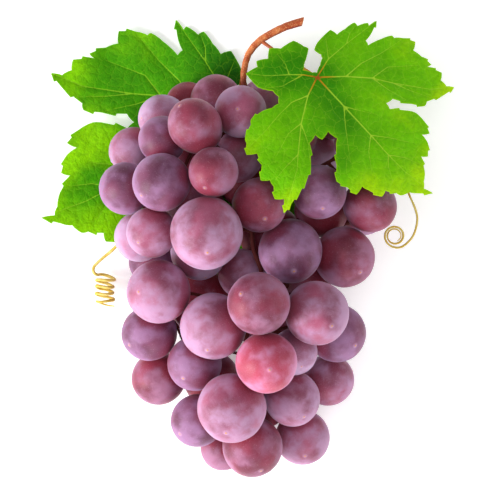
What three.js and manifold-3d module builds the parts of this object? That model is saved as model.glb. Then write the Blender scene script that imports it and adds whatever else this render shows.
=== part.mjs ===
// A bunch of large red table grapes that lies on a table, with two vine leaves and two tendrils.
// Units are millimetres and +Z is up. The stem end points along +Y and the bunch's tip along -Y.
// While it is built, the middle of the bunch's length and width is at X = 0, Y = 0, and the table
// is at Z = 0. The last lines move the whole part so that its origin is under its own middle.

import * as THREE from 'three';
import Module from 'manifold-3d';
import { mergeVertices } from 'three/addons/utils/BufferGeometryUtils.js';

// ---------------------------------------------------------------- driving dimensions

const bunchLength = 168;
const bunchWidth = 125;
const bunchHeight = 82;
const berryDiameter = 26;
const berryGap = 0.4;

const stemCutDiameter = 3.6;
const stemNeckDiameter = 2.8;
const axisTipDiameter = 1.8;
const pedicelDiameter = 1.6;
const stalkDiameter = 1.5;
const pieceGap = 0.35;

const rightLeafLength = 68.5;
const leftLeafLength = 92;
const leafThickness = 0.8;

const tendrilDiameter = 0.9;
const corkscrewDiameter = 6.8;
const corkscrewLength = 14;
const corkscrewTurns = 4.5;
const curlStartRadius = 5.4;
const curlEndRadius = 2.6;
const curlTurns = 2;

const halfWidth = bunchWidth / 2;
const halfLength = bunchLength / 2;

// ---------------------------------------------------------------- where the berries hang

// Each row is one berry: its place across and along the bunch in hundredths of the half width and
// the half length, its height in hundredths of the bunch's height, and its diameter in hundredths
// of the typical berry. Where two more numbers follow, they say which way the blossom end points,
// across and along in hundredths, with the rest of it upwards. The rows follow the bunch from the
// stem end to the tip.

const shoulderBerries = [
  [-21, 87, 32, 82], [9, 86, 28, 78, -51, 56], [-7, 76, 54, 84], [-42, 84, 12, 72],
  [-59, 77, 34, 78], [-79, 62, 24, 76], [-58, 66, 55, 76], [-33, 72, 71, 84, -50, 64],
  [26, 70, 56, 90], [58, 76, 32, 84], [-4, 61, 42, 88], [74, 65, 52, 86], [49, 61, 28, 78],
  [0, 46, 14, 100],
];

const upperBerries = [
  [-24, 50, 80, 78, -33, -65], [-58, 45, 70, 92, -67, -46], [-83, 42, 49, 84],
  [7, 33, 68, 87, 20, -50], [47, 40, 60, 87, 10, -60], [81, 33, 44, 86], [-40, 58, 14, 88],
  [-37, 36, 14, 98],
];

const middleBerries = [
  [-28, 20, 80, 114, 4, -52], [-65, 20, 61, 81, -50, -40], [-74, 18, 35, 81],
  [-32, 8, 42, 90, 25, -89], [28, 11, 56, 103, 10, -61], [63, 8, 39, 99, 50, -50],
  [-2, 4, 40, 80], [45, 29, 18, 88], [-66, 5, 13, 78], [17, 19, 15, 102], [78, 31, 14, 78],
];

const lowerBerries = [
  [-59, -9, 52, 102, -60, 0], [6, -16, 80, 99, -55, 31], [-24, -27, 60, 106, -17, -70],
  [45, -20, 68, 102, 44, -37], [34, -8, 20, 84], [59, -31, 36, 94, 60, -40],
  [-66, -32, 35, 88, -70, -40], [-31, -16, 15, 108], [13, -20, 15, 100],
];

const tipBerries = [
  [10, -45, 70, 98, 10, -20], [31, -40, 45, 76, 30, -60], [-37, -45, 40, 88, -40, -50],
  [-54, -53, 18, 86], [54, -55, 18, 84], [29, -63, 36, 90, 40, -60],
  [-11, -67, 53, 110, -16, -67], [-33, -73, 32, 86, -60, -50], [36, -84, 16, 89, 8, -62],
  [1, -87, 28, 97, 10, -75], [-17, -90, 11, 72], [-34, -56, 15, 90], [8, -68, 13, 86],
];

function placeInBunch([across, along, height]) {
  return new THREE.Vector3(
    (across / 100) * halfWidth,
    (along / 100) * halfLength,
    (height / 100) * bunchHeight,
  );
}

const berryRows = [shoulderBerries, upperBerries, middleBerries, lowerBerries, tipBerries].flat();

function blossomWay(across, along) {
  const sideways = new THREE.Vector3(across / 100, along / 100, 0);
  return sideways.setZ(Math.sqrt(Math.max(0, 1 - sideways.lengthSq()))).normalize();
}

const berries = berryRows.map(([across, along, height, size, blossomAcross, blossomAlong]) => {
  const home = placeInBunch([across, along, height]);
  const blossom = blossomAcross === undefined ? null : blossomWay(blossomAcross, blossomAlong);
  return { home, centre: home.clone(), radius: (size / 200) * berryDiameter, blossom };
});

// ---------------------------------------------------------------- the outline of a vine leaf

// One side of the leaf shape after the other, from the stalk around to the stalk again, in
// hundredths of the middle vein's length: across the vein, then along it towards the tip. Each
// lobe ends in a tooth, and smaller teeth follow its edges.

const firstBasalLobe = [
  [2, -2], [7, -4], [11, -6], [12, -8], [11, -13], [16, -15], [27, -15], [28, -10], [34, -9],
  [41, -8], [41, -5], [47, -2], [46, 0], [52, 1], [45, 4], [38, 5], [37, 8],
];

const firstLateralLobe = [
  [46, 11], [52, 14], [52, 16], [56, 20], [60, 27], [55, 30], [56, 36], [57, 44], [54, 43],
  [58, 52], [54, 55], [54, 60], [57, 64], [50, 63], [38, 58], [35, 59], [30, 52], [24, 42],
  [19, 41], [18, 45],
];

const middleLobe = [
  [25, 53], [28, 58], [28, 65], [25, 73], [21, 70], [20, 76], [14, 82], [11, 79], [6, 87],
  [1, 91], [-2, 94], [0, 100], [-7, 93], [-10, 89], [-15, 87], [-16, 84], [-20, 78], [-24, 79],
  [-27, 70], [-28, 66], [-34, 67], [-35, 60], [-37, 53], [-30, 46], [-22, 38], [-18, 35],
];

const secondLateralLobe = [
  [-19, 28], [-25, 29], [-26, 24], [-32, 25], [-41, 35], [-50, 40], [-66, 43], [-73, 44],
  [-67, 38], [-71, 34], [-66, 28], [-65, 24], [-69, 20], [-62, 14], [-59, 7], [-64, 3], [-59, -2],
  [-57, -5], [-49, -8],
];

const secondBasalLobe = [
  [-47, -10], [-39, -9], [-33, -6], [-28, -5], [-25, -8], [-25, -13], [-30, -21], [-29, -32],
  [-21, -30], [-19, -33], [-13, -29], [-8, -33], [-3, -28], [6, -26], [8, -19], [9, -16],
  [0, -11], [-3, -9], [0, -4],
];

const leafOutline = [
  firstBasalLobe, firstLateralLobe, middleLobe, secondLateralLobe, secondBasalLobe,
].flat();

// A leaf is placed by its stalk joint, the heading of its middle vein in degrees from +X, its
// length, and which way round it faces. It then lies on its own curved surface.

const rightLeaf = {
  joint: new THREE.Vector2(0.453 * halfWidth, 0.966 * halfLength),
  heading: -44.7,
  length: rightLeafLength,
  side: 1,
};

const leftLeaf = {
  joint: new THREE.Vector2(-0.13 * halfWidth, 0.795 * halfLength),
  heading: -151.7,
  length: leftLeafLength,
  side: -1,
};

function leafPoint(leaf, across, along) {
  const scale = leaf.length / 100;
  const vein = THREE.MathUtils.degToRad(leaf.heading);
  const sideways = across * scale * leaf.side;
  const onward = along * scale;
  return new THREE.Vector2(
    leaf.joint.x + Math.cos(vein) * onward - Math.sin(vein) * sideways,
    leaf.joint.y + Math.sin(vein) * onward + Math.cos(vein) * sideways,
  );
}

// The right leaf drapes over the bunch's right shoulder, highest near the bunch's middle. The left
// leaf lies on the table under the bunch, and its free edge curls up a little.

const crownAcross = 0;
const crownAlong = 22;
const crownHeight = 0.88 * bunchHeight;
const drapeWidth = 34;
const drapeSideSlope = 0.52;
const drapeBackSlope = 0.42;
const leftLeafCurl = 0.0028;
const leftLeafFlatHalf = 30;

function softSlope(distance, slope) {
  return slope * (Math.hypot(distance, drapeWidth) - drapeWidth);
}

rightLeaf.raise = 0;
rightLeaf.height = (x, y) => {
  const sideways = softSlope(Math.max(0, x - crownAcross), drapeSideSlope);
  const backwards = softSlope(y - crownAlong, drapeBackSlope);
  return crownHeight + rightLeaf.raise - sideways - backwards;
};

leftLeaf.height = (x) => {
  const free = Math.max(0, -x - leftLeafFlatHalf);
  return leftLeafCurl * free * free;
};

for (const leaf of [rightLeaf, leftLeaf]) {
  leaf.edge = leafOutline.map(([across, along]) => leafPoint(leaf, across, along));
}

function covers(leaf, x, y) {
  let inside = false;
  leaf.edge.forEach((end, index) => {
    const start = leaf.edge.at(index - 1);
    const straddles = (start.y > y) !== (end.y > y);
    if (straddles && x < start.x + ((end.x - start.x) * (y - start.y)) / (end.y - start.y)) {
      inside = !inside;
    }
  });
  return inside;
}

// ---------------------------------------------------------------- the stem's main axis

// The axis runs down inside the bunch as a chain of beads, which gives way to the berries while
// they settle.

const axisBends = [
  [-4, 96, 44], [8, 66, 41], [10, 42, 40], [2, 18, 44], [8, -8, 43], [-2, -34, 42], [2, -62, 32],
];
const axisBeadStep = 6;

const axisCurve = new THREE.CatmullRomCurve3(axisBends.map(placeInBunch));
const axisBeadCount = Math.round(axisCurve.getLength() / axisBeadStep);
const axisBeads = axisCurve.getSpacedPoints(axisBeadCount).map((point) => ({
  home: point,
  centre: point.clone(),
  radius: stemNeckDiameter / 2,
}));

// ---------------------------------------------------------------- settling the bunch

// Berries that press on each other move apart, mostly up and down, until each keeps its gap. They
// stay above the table and the left leaf, and below the right leaf.

const settleRounds = 900;
const pulledRounds = 630;
const homePull = 0.02;
const heightPull = 0.004;
const axisPull = 0.05;
const evenShare = 0.5;
const axisShare = 0.7;
const leafReach = 6;
const slopeAllowance = 1.12;
const leastGap = 0.1;
const leafSampleStep = 1;

function pushApart(one, two, gap, oneShare) {
  const apart = two.centre.clone().sub(one.centre);
  const overlap = one.radius + two.radius + gap - apart.length();
  if (overlap <= 0) {
    return;
  }
  apart.normalize();
  one.centre.addScaledVector(apart, -overlap * oneShare);
  two.centre.addScaledVector(apart, overlap * (1 - oneShare));
}

function pullHome(bead, across, up) {
  bead.centre.x += (bead.home.x - bead.centre.x) * across;
  bead.centre.y += (bead.home.y - bead.centre.y) * across;
  bead.centre.z += (bead.home.z - bead.centre.z) * up;
}

const compass = [0, 45, 90, 135, 180, 225, 270, 315].map(THREE.MathUtils.degToRad);

function touches(leaf, { x, y }) {
  return covers(leaf, x, y) || compass.some((turn) => (
    covers(leaf, x + leafReach * Math.cos(turn), y + leafReach * Math.sin(turn))
  ));
}

function keepBetweenLeafAndTable({ centre, radius }) {
  if (touches(rightLeaf, centre)) {
    const underside = rightLeaf.height(centre.x, centre.y) - leafThickness / 2;
    centre.z = Math.min(centre.z, underside - pieceGap - radius * slopeAllowance);
  }
  let floor = radius;
  if (touches(leftLeaf, centre)) {
    floor += leftLeaf.height(centre.x - radius) + leafThickness + pieceGap;
  }
  centre.z = Math.max(centre.z, floor);
}

const berryPairs = berries.flatMap((one, index) => (
  berries.slice(index + 1).map((other) => [one, other])
));

function makeRoom() {
  berryPairs.forEach(([one, other]) => pushApart(one, other, berryGap, evenShare));
  for (const bead of axisBeads) {
    berries.forEach((berry) => pushApart(bead, berry, 2 * pieceGap, axisShare));
  }
}

for (let round = 0; round < settleRounds; round += 1) {
  if (round < pulledRounds) {
    berries.forEach((berry) => pullHome(berry, homePull, heightPull));
    axisBeads.forEach((bead) => pullHome(bead, axisPull, axisPull));
  }
  makeRoom();
  berries.forEach(keepBetweenLeafAndTable);
}

// Berries that are still crowded under the right leaf rise, and the leaf then lies higher on them.

function crowded() {
  return berryPairs.some(([one, other]) => (
    one.centre.distanceTo(other.centre) < one.radius + other.radius + leastGap
  ));
}

for (let round = 0; round < settleRounds && crowded(); round += 1) {
  makeRoom();
  berries.forEach(({ centre, radius }) => {
    const leafTop = leftLeaf.height(centre.x - radius) + leafThickness + pieceGap;
    centre.setZ(Math.max(centre.z, radius + leafTop));
  });
}

function pokesOut({ centre, radius }, x, y) {
  const reach = radius + leastGap;
  const fromAxis = Math.hypot(x - centre.x, y - centre.y);
  return fromAxis < reach
    ? centre.z + Math.sqrt(reach * reach - fromAxis * fromAxis)
      - (rightLeaf.height(x, y) - leafThickness / 2)
    : 0;
}

const leafBox = new THREE.Box2().setFromPoints(rightLeaf.edge);
let leafRise = 0;
for (let { x } = leafBox.min; x < leafBox.max.x; x += leafSampleStep) {
  for (let { y } = leafBox.min; y < leafBox.max.y; y += leafSampleStep) {
    if (touches(rightLeaf, { x, y })) {
      leafRise = Math.max(leafRise, ...berries.map((berry) => pokesOut(berry, x, y)));
    }
  }
}
rightLeaf.raise = leafRise > 0 ? leafRise + pieceGap : 0;

// ---------------------------------------------------------------- routes that stay clear

// A pedicel or tendril that runs between the berries is a chain of points. It is smoothed, and
// pushed out of every berry that is in its way, until it runs clear.

const routeStep = 3;
const routeRounds = 160;
const routeSmoothing = 0.25;
const routeGap = pieceGap + 0.15;

function pushOut(point, obstacle, clearance) {
  const away = point.clone().sub(obstacle.centre);
  const reach = obstacle.radius + clearance;
  if (away.length() < reach) {
    point.copy(obstacle.centre).addScaledVector(away.normalize(), reach);
  }
}

function settleRoute(points, radius, obstacles) {
  for (let round = 0; round < routeRounds; round += 1) {
    for (let i = 1; i < points.length - 1; i += 1) {
      const middle = points[i - 1].clone().add(points[i + 1]).multiplyScalar(0.5);
      points[i].lerp(middle, routeSmoothing);
      obstacles.forEach((obstacle) => pushOut(points[i], obstacle, radius + routeGap));
    }
  }
  return points;
}

function routeClear(start, end, radius, obstacles) {
  const steps = Math.max(3, Math.ceil(start.distanceTo(end) / routeStep));
  const points = Array.from({ length: steps + 1 }, (_, i) => start.clone().lerp(end, i / steps));
  return settleRoute(points, radius, obstacles);
}

function offTheBark(foot, radius, obstacles) {
  const start = foot.clone();
  for (let round = 0; round < routeRounds; round += 1) {
    obstacles.forEach((obstacle) => pushOut(start, obstacle, radius + routeGap));
  }
  return start;
}

// A pedicel ends square on its berry, a gap away from the skin: opposite the blossom end where
// that is given, and otherwise on the side it comes from.

const squareOnLength = 2;
const forkReach = 5;

function pedicelLanding(berry, start, others) {
  const reach = berry.radius + squareOnLength;
  const end = start.clone().sub(berry.centre);
  if (berry.blossom) {
    end.copy(berry.blossom).negate();
  }
  end.setLength(reach).add(berry.centre);
  for (let round = 0; round < routeRounds; round += 1) {
    others.forEach((other) => pushOut(end, other, pedicelDiameter / 2 + routeGap));
    end.sub(berry.centre).setLength(reach).add(berry.centre);
  }
  return end;
}

function routeToBerry(start, berry, others) {
  const end = pedicelLanding(berry, start, others);
  const landing = { centre: berry.centre, radius: berry.radius + squareOnLength };
  const points = routeClear(start, end, pedicelDiameter / 2, [...others, landing]);
  const skin = end.clone().sub(berry.centre).setLength(berry.radius + pieceGap);
  points.push(skin.add(berry.centre));
  return points;
}

// ---------------------------------------------------------------- solids

const wasm = await Module();
wasm.setup();

const weldDistance = 1e-4;

function toSolid(geometry) {
  const bare = geometry.clone();
  bare.deleteAttribute('normal');
  bare.deleteAttribute('uv');
  const merged = mergeVertices(bare, weldDistance);
  return new wasm.Manifold(new wasm.Mesh({
    numProp: 3,
    vertProperties: new Float32Array(merged.attributes.position.array),
    triVerts: new Uint32Array(merged.index.array),
  }));
}

function toGeometry(solid) {
  const mesh = solid.getMesh();
  const geometry = new THREE.BufferGeometry();
  geometry.setAttribute('position', new THREE.BufferAttribute(mesh.vertProperties, 3));
  geometry.setIndex(new THREE.BufferAttribute(mesh.triVerts, 1));
  geometry.computeVertexNormals();
  return geometry;
}

// A round shoot is a closed cylinder that is bent along a smooth curve and given its own
// thickness at each place, as a share of the way along it.

function shoot(points, radiusAt, sides, steps) {
  const curve = new THREE.CatmullRomCurve3(points, false, 'centripetal');
  const frames = curve.computeFrenetFrames(steps);
  const geometry = new THREE.CylinderGeometry(1, 1, 1, sides, steps);
  const { position } = geometry.attributes;
  for (let i = 0; i < position.count; i += 1) {
    const share = position.getY(i) + 0.5;
    const ring = Math.round(share * steps);
    const radius = radiusAt(share);
    const place = curve.getPointAt(share);
    place.addScaledVector(frames.normals[ring], position.getX(i) * radius);
    place.addScaledVector(frames.binormals[ring], -position.getZ(i) * radius);
    position.setXYZ(i, place.x, place.y, place.z);
  }
  return geometry;
}

// ---------------------------------------------------------------- the stem

// The peduncle bends over from its cut end, in millimetres from the top of the bunch's axis.

const peduncleBends = [
  [26, 24.8, 7], [17.6, 22.3, 6.5], [12, 19.6, 6], [7.7, 17.2, 5], [4.2, 13.9, 4], [1.8, 10.2, 2.5],
  [0.6, 5.3, 1],
];

const axisTop = axisBeads[0].centre;
const peduncle = peduncleBends.map((bend) => new THREE.Vector3(...bend).add(axisTop));
const mainLine = [...peduncle, ...axisBeads.map((bead) => bead.centre)];
const peduncleShare = 0.19;
const mainSides = 8;
const mainSteps = 44;
const pedicelSides = 5;

function mainRadius(share) {
  const cut = stemCutDiameter / 2;
  const neck = stemNeckDiameter / 2;
  const tip = axisTipDiameter / 2;
  return share < peduncleShare
    ? THREE.MathUtils.lerp(cut, neck, share / peduncleShare)
    : THREE.MathUtils.lerp(neck, tip, (share - peduncleShare) / (1 - peduncleShare));
}

let stemSolid = toSolid(shoot(mainLine, mainRadius, mainSides, mainSteps));

// Pedicels branch off the axis or off each other, those of the inner berries first, so that the
// outer berries hang on side branches.

function nearest(points, place) {
  return points.reduce((best, point) => (
    point.distanceTo(place) < best.distanceTo(place) ? point : best
  ));
}

const barkBeadStep = 1.5;

function barkBeads(line, radius) {
  const curve = new THREE.CatmullRomCurve3(line, false, 'centripetal');
  const count = Math.ceil(curve.getLength() / barkBeadStep);
  return curve.getSpacedPoints(count).map((centre) => ({ centre, radius }));
}

let forks = axisBeads.slice(1).map((bead) => bead.centre);
const stemBeads = barkBeads(mainLine, stemNeckDiameter / 2);
const fromInside = berries
  .map((berry) => ({ berry, depth: nearest(forks, berry.centre).distanceTo(berry.centre) }))
  .sort((one, two) => one.depth - two.depth)
  .map(({ berry }) => berry);

for (const berry of fromInside) {
  const others = berries.filter((other) => other !== berry);
  const farForks = forks.filter((fork) => (
    fork.distanceTo(berry.centre) > berry.radius + forkReach
  ));
  const stemEnd = berry.centre.clone();
  if (berry.blossom) {
    stemEnd.addScaledVector(berry.blossom, -berry.radius);
  }
  const fork = nearest(farForks, stemEnd);
  const line = routeToBerry(fork, berry, others);
  const pedicel = shoot(line, () => pedicelDiameter / 2, pedicelSides, line.length - 1);
  stemSolid = stemSolid.add(toSolid(pedicel));
  forks = forks.filter((other) => other !== fork);
  forks.push(...line.slice(1, -2));
  stemBeads.push(...barkBeads(line, pedicelDiameter / 2));
}

// ---------------------------------------------------------------- the leaves

// A blade is a bent sheet that is cut to the leaf's outline, joined to its stalk.

const sheetCells = 10;
const sheetMargin = 1;

function blade(leaf) {
  const bounds = new THREE.Box2().setFromPoints(leaf.edge).expandByScalar(sheetMargin);
  const size = bounds.getSize(new THREE.Vector2());
  const middle = bounds.getCenter(new THREE.Vector2());
  const sheet = new THREE.BoxGeometry(size.x, size.y, leafThickness, sheetCells, sheetCells, 1);
  sheet.translate(middle.x, middle.y, 0);
  const { position } = sheet.attributes;
  for (let i = 0; i < position.count; i += 1) {
    const height = leaf.height(position.getX(i), position.getY(i));
    position.setZ(i, position.getZ(i) + height + leaf.lift);
  }
  const prism = new THREE.ExtrudeGeometry(new THREE.Shape(leaf.edge), {
    depth: 2 * bunchHeight,
    bevelEnabled: false,
  });
  prism.translate(0, 0, -bunchHeight / 2);
  return toSolid(sheet).intersect(toSolid(prism));
}

rightLeaf.lift = 0;
leftLeaf.lift = leafThickness / 2;

const stalkSides = 6;
const stalkRadius = stalkDiameter / 2;
const stalkRingsPerPoint = 2;
const jointSink = 0.3;
const tableClearance = 0.1;

function stalk(line) {
  return toSolid(shoot(line, () => stalkRadius, stalkSides, stalkRingsPerPoint * line.length));
}

const towardsRightLeaf = new THREE.Vector3(1, -1, 0);
const rightStalkFoot = offTheBark(peduncle[3].clone().add(towardsRightLeaf), stalkRadius, stemBeads);
const rightJointHeight = rightLeaf.height(rightLeaf.joint.x, rightLeaf.joint.y);
const rightJoint = new THREE.Vector3(rightLeaf.joint.x, rightLeaf.joint.y, rightJointHeight - jointSink);
const rightStalkSags = [
  { share: 0.3, sag: new THREE.Vector3(0.5, 0, -1) },
  { share: 0.7, sag: new THREE.Vector3(0.5, 0, -2) },
];
const rightStalkLine = [
  rightStalkFoot,
  ...rightStalkSags.map(({ share, sag }) => rightStalkFoot.clone().lerp(rightJoint, share).add(sag)),
  rightJoint,
];
const rightLeafSolid = blade(rightLeaf).add(stalk(rightStalkLine));

const leftJoint = new THREE.Vector3(leftLeaf.joint.x, leftLeaf.joint.y, stalkRadius + tableClearance);
const towardsLeftLeaf = new THREE.Vector3(0, 0, -1);
const leftStalkLine = routeClear(
  offTheBark(peduncle[6].clone().add(towardsLeftLeaf), stalkRadius, stemBeads),
  leftJoint,
  stalkRadius,
  [...berries, ...stemBeads],
);
const leftLeafSolid = blade(leftLeaf).add(stalk(leftStalkLine));

// ---------------------------------------------------------------- the tendrils

const tendrilRadius = tendrilDiameter / 2;
const tendrilSides = 5;
const tendrilTurnSteps = 10;
const tendrilRingsPerPoint = 1.2;
const footShare = 0.02;
const corkscrewFlatness = 0.9;

function liftOffLeaf(point) {
  if (touches(leftLeaf, point)) {
    const leafTop = leftLeaf.height(point.x) + leafThickness;
    point.setZ(Math.max(point.z, leafTop + pieceGap + tendrilRadius));
  }
}

// The left tendril comes out low between the berries, hooks around and ends in a corkscrew that
// lies along the table.

const leftExit = placeInBunch([-89, 13.8, 11]);
const leftTendrilReach = new THREE.Vector3(16, 8, 12);
const leftObstacles = [...berries, ...stemBeads];
const leftTendrilFork = nearest(forks, leftExit.clone().add(leftTendrilReach));
const leftTendrilFoot = leftTendrilFork.clone().lerp(leftExit, footShare);
const hook = [[-5, -4.2, -2], [-9.4, -8, -3.4], [-10.9, -10.4, -3.8], [-9.4, -12.4, -4]];
const leftTendrilLine = [
  ...routeClear(
    offTheBark(leftTendrilFoot, tendrilRadius, leftObstacles),
    leftExit,
    tendrilRadius,
    leftObstacles,
  ),
  ...hook.map((bend) => new THREE.Vector3(...bend).add(leftExit)),
];
const corkscrewSteps = Math.round(corkscrewTurns * tendrilTurnSteps);
const corkscrewRadius = corkscrewDiameter / 2;
const corkscrewFoot = leftTendrilLine.at(-1).clone();
for (let step = 1; step <= corkscrewSteps; step += 1) {
  const turn = Math.PI + (step / tendrilTurnSteps) * 2 * Math.PI;
  leftTendrilLine.push(new THREE.Vector3(
    corkscrewFoot.x + corkscrewRadius * (1 + Math.cos(turn)),
    corkscrewFoot.y - (step / corkscrewSteps) * corkscrewLength,
    corkscrewFoot.z + corkscrewRadius * Math.sin(turn) * corkscrewFlatness,
  ));
}

// The right tendril runs from the peduncle under the right leaf, around the bunch's shoulder, and
// ends in a flat curl beside the bunch.

const towardsRightTendril = new THREE.Vector3(1, 0, -0.3);
const rightTendrilFoot = offTheBark(
  peduncle[6].clone().add(towardsRightTendril),
  tendrilRadius,
  stemBeads,
);
const rightBends = [
  [8, 98, 43], [24, 99, 42], [48, 97, 40], [74, 88, 38], [96, 74, 37], [109, 57, 35], [108, 40, 35],
];
const rightArc = [[112, 33, 34.6], [114, 27.4, 34], [113, 21.8, 33.7], [110, 17, 33.3]];
const rightRun = new THREE.CatmullRomCurve3([rightTendrilFoot, ...rightBends.map(placeInBunch)]);
const rightRunSteps = Math.round(rightRun.getLength() / routeStep);
const rightTendrilLine = settleRoute(
  rightRun.getSpacedPoints(rightRunSteps),
  tendrilRadius,
  berries,
);
rightTendrilLine.push(...rightArc.map(placeInBunch));
const curlOffset = new THREE.Vector3(-6.9, 1.1, -0.8);
const curlCentre = rightTendrilLine.at(-1).clone().add(curlOffset);
const curlDescent = 5;
const curlSteps = Math.round(curlTurns * tendrilTurnSteps);
const curlFirstTurn = THREE.MathUtils.degToRad(-62);
for (let step = 0; step <= curlSteps; step += 1) {
  const share = step / curlSteps;
  const turn = curlFirstTurn - share * curlTurns * 2 * Math.PI;
  const radius = THREE.MathUtils.lerp(curlStartRadius, curlEndRadius, Math.sqrt(share));
  rightTendrilLine.push(new THREE.Vector3(
    curlCentre.x + radius * Math.cos(turn),
    curlCentre.y + radius * Math.sin(turn),
    curlCentre.z - share * curlDescent,
  ));
}

for (const point of [...leftTendrilLine, ...rightTendrilLine]) {
  berries.forEach((berry) => pushOut(point, berry, tendrilRadius + routeGap));
  liftOffLeaf(point);
}

function tendril(line) {
  return shoot(line, () => tendrilRadius, tendrilSides, Math.round(line.length * tendrilRingsPerPoint));
}

// ---------------------------------------------------------------- the bunch, piece by piece

const stemBark = new THREE.MeshStandardMaterial({ color: 0xb05c35, roughness: 0.75 });
const leafGreen = new THREE.MeshStandardMaterial({
  color: 0x62ad12,
  roughness: 0.55,
  side: THREE.DoubleSide,
});
const tendrilGold = new THREE.MeshStandardMaterial({ color: 0xd2b446, roughness: 0.6 });
const berrySkins = [0xa06a92, 0x8c4c66, 0xb07aa8, 0x7a3348].map((color) => (
  new THREE.MeshStandardMaterial({ color, roughness: 0.5 })
));

const bunch = new THREE.Group();

function addPiece(name, geometry, material) {
  const mesh = new THREE.Mesh(geometry, material.clone());
  mesh.name = name;
  bunch.add(mesh);
  return mesh;
}

addPiece('stem', toGeometry(stemSolid), stemBark);
addPiece('leaf_right', toGeometry(rightLeafSolid), leafGreen);
addPiece('leaf_left', toGeometry(leftLeafSolid), leafGreen);
addPiece('tendril_right', tendril(rightTendrilLine), tendrilGold);
addPiece('tendril_left', tendril(leftTendrilLine), tendrilGold);

const berrySides = 12;
const berryRings = 6;

berries.forEach((berry, index) => {
  const skin = new THREE.SphereGeometry(berry.radius, berrySides, berryRings);
  skin.rotateX(Math.PI / 2);
  const name = `grape_${String(index + 1).padStart(2, '0')}`;
  addPiece(name, skin, berrySkins[index % berrySkins.length]).position.copy(berry.centre);
});

// The origin is under the middle of the whole part, at the height of the table.

const bounds = new THREE.Box3().setFromObject(bunch);
const middle = bounds.getCenter(new THREE.Vector3());
bunch.position.set(-middle.x, -middle.y, -bounds.min.z);

export default bunch;
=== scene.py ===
import math
import random

import bmesh
import bpy
import numpy as np
from mathutils import Matrix, Vector, noise


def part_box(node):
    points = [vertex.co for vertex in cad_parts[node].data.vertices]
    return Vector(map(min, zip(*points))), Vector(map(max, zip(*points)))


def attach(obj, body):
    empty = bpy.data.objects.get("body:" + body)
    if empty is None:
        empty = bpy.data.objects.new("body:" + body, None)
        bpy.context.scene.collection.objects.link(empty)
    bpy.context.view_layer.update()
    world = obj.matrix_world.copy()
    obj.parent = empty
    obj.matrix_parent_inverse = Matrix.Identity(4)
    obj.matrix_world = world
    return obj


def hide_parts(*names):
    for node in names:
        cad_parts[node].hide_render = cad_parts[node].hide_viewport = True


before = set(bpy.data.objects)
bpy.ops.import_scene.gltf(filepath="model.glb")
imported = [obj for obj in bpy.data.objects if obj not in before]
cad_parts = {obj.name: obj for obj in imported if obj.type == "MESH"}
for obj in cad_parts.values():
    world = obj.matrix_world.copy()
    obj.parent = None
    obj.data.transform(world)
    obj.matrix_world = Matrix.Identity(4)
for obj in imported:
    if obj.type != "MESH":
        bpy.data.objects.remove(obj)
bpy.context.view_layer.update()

MM = 0.001
bpy.ops.object.select_all(action="DESELECT")


# ---------------------------------------------------------------- the fruit stem
#
# The woody stem that the whole bunch grows on, in one piece: the peduncle that was cut from the
# vine, the axis down the middle of the bunch, and a thin side stalk to each berry. Its bark is
# reddish brown and slightly rough, and it swells to a small cushion where it holds a berry. Deep
# inside the bunch the bark is painted dark wine as painted shade.

stem_corners = np.array([corner.co[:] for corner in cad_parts["stem"].data.vertices])
grape_nodes = sorted(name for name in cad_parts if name.startswith("grape_"))

STEM_VOXEL = 0.34 * MM
BARK_SWELL = 0.22 * MM
CUSHION_WIDTH = 3.2 * MM
SIDE_STALK_WIDTH = 1.7 * MM
CUSHION_HEIGHT = 2.6 * MM
PEDUNCLE_WAY = Vector((0.94, 0.28, 0.06)).normalized()
CUT_SLANT = Vector((0.96, -0.26, 0.05)).normalized()
CUT_BACK = 0.9 * MM
CUT_HALF_WIDTH = 3.7 * MM
CUT_REACH = 7 * MM
PEDUNCLE_TOP_BAND = 4 * MM
PEDUNCLE_FOOT = 74 * MM
SAME_PLACE = 0.001 * MM
CLOSE = 0.1 * MM
INTO_BERRY = 0.5 * MM


def grape_seat(node):
    """A berry's middle, its radius, and the way from its middle to the stalk that holds it."""
    low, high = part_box(node)
    middle = (low + high) / 2
    away = np.linalg.norm(stem_corners - np.array(middle), axis=1)
    stalk_end = Vector(stem_corners[away < away.min() + CLOSE].mean(axis=0))
    return middle, (high.z - low.z) / 2, (stalk_end - middle).normalized()


def choose(piece):
    bpy.ops.object.select_all(action="DESELECT")
    piece.select_set(True)
    bpy.context.view_layer.objects.active = piece


def finish_with(piece, kind, **settings):
    """Adds a modifier and applies it at once."""
    choose(piece)
    bpy.ops.object.modifier_add(type=kind)
    modifier = piece.modifiers[-1]
    for setting, value in settings.items():
        setattr(modifier, setting, value)
    bpy.ops.object.modifier_apply(modifier=modifier.name)


def select_where(piece, kind, test):
    """In edit mode, selects each corner or face whose middle passes the test."""
    bpy.ops.mesh.select_mode(type=kind)
    bpy.ops.mesh.select_all(action="DESELECT")
    mesh = bmesh.from_edit_mesh(piece.data)
    if kind == "VERT":
        for corner in mesh.verts:
            corner.select_set(test(corner.co))
    else:
        for face in mesh.faces:
            face.select_set(test(face.calc_center_median()))
    bmesh.update_edit_mesh(piece.data)


def clouds(name, size, depth=2):
    texture = bpy.data.textures.new(name, "CLOUDS")
    texture.noise_scale = size
    texture.noise_depth = depth
    return texture


def new_piece(name, mesh):
    piece = bpy.data.objects.new(name, mesh)
    bpy.context.scene.collection.objects.link(piece)
    return piece


stem = new_piece("fruit_stem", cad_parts["stem"].data.copy())
stem.data.materials.clear()
choose(stem)
bpy.ops.object.mode_set(mode="EDIT")
bpy.ops.mesh.select_all(action="SELECT")
bpy.ops.mesh.remove_doubles(threshold=SAME_PLACE)
bpy.ops.object.mode_set(mode="OBJECT")

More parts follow.
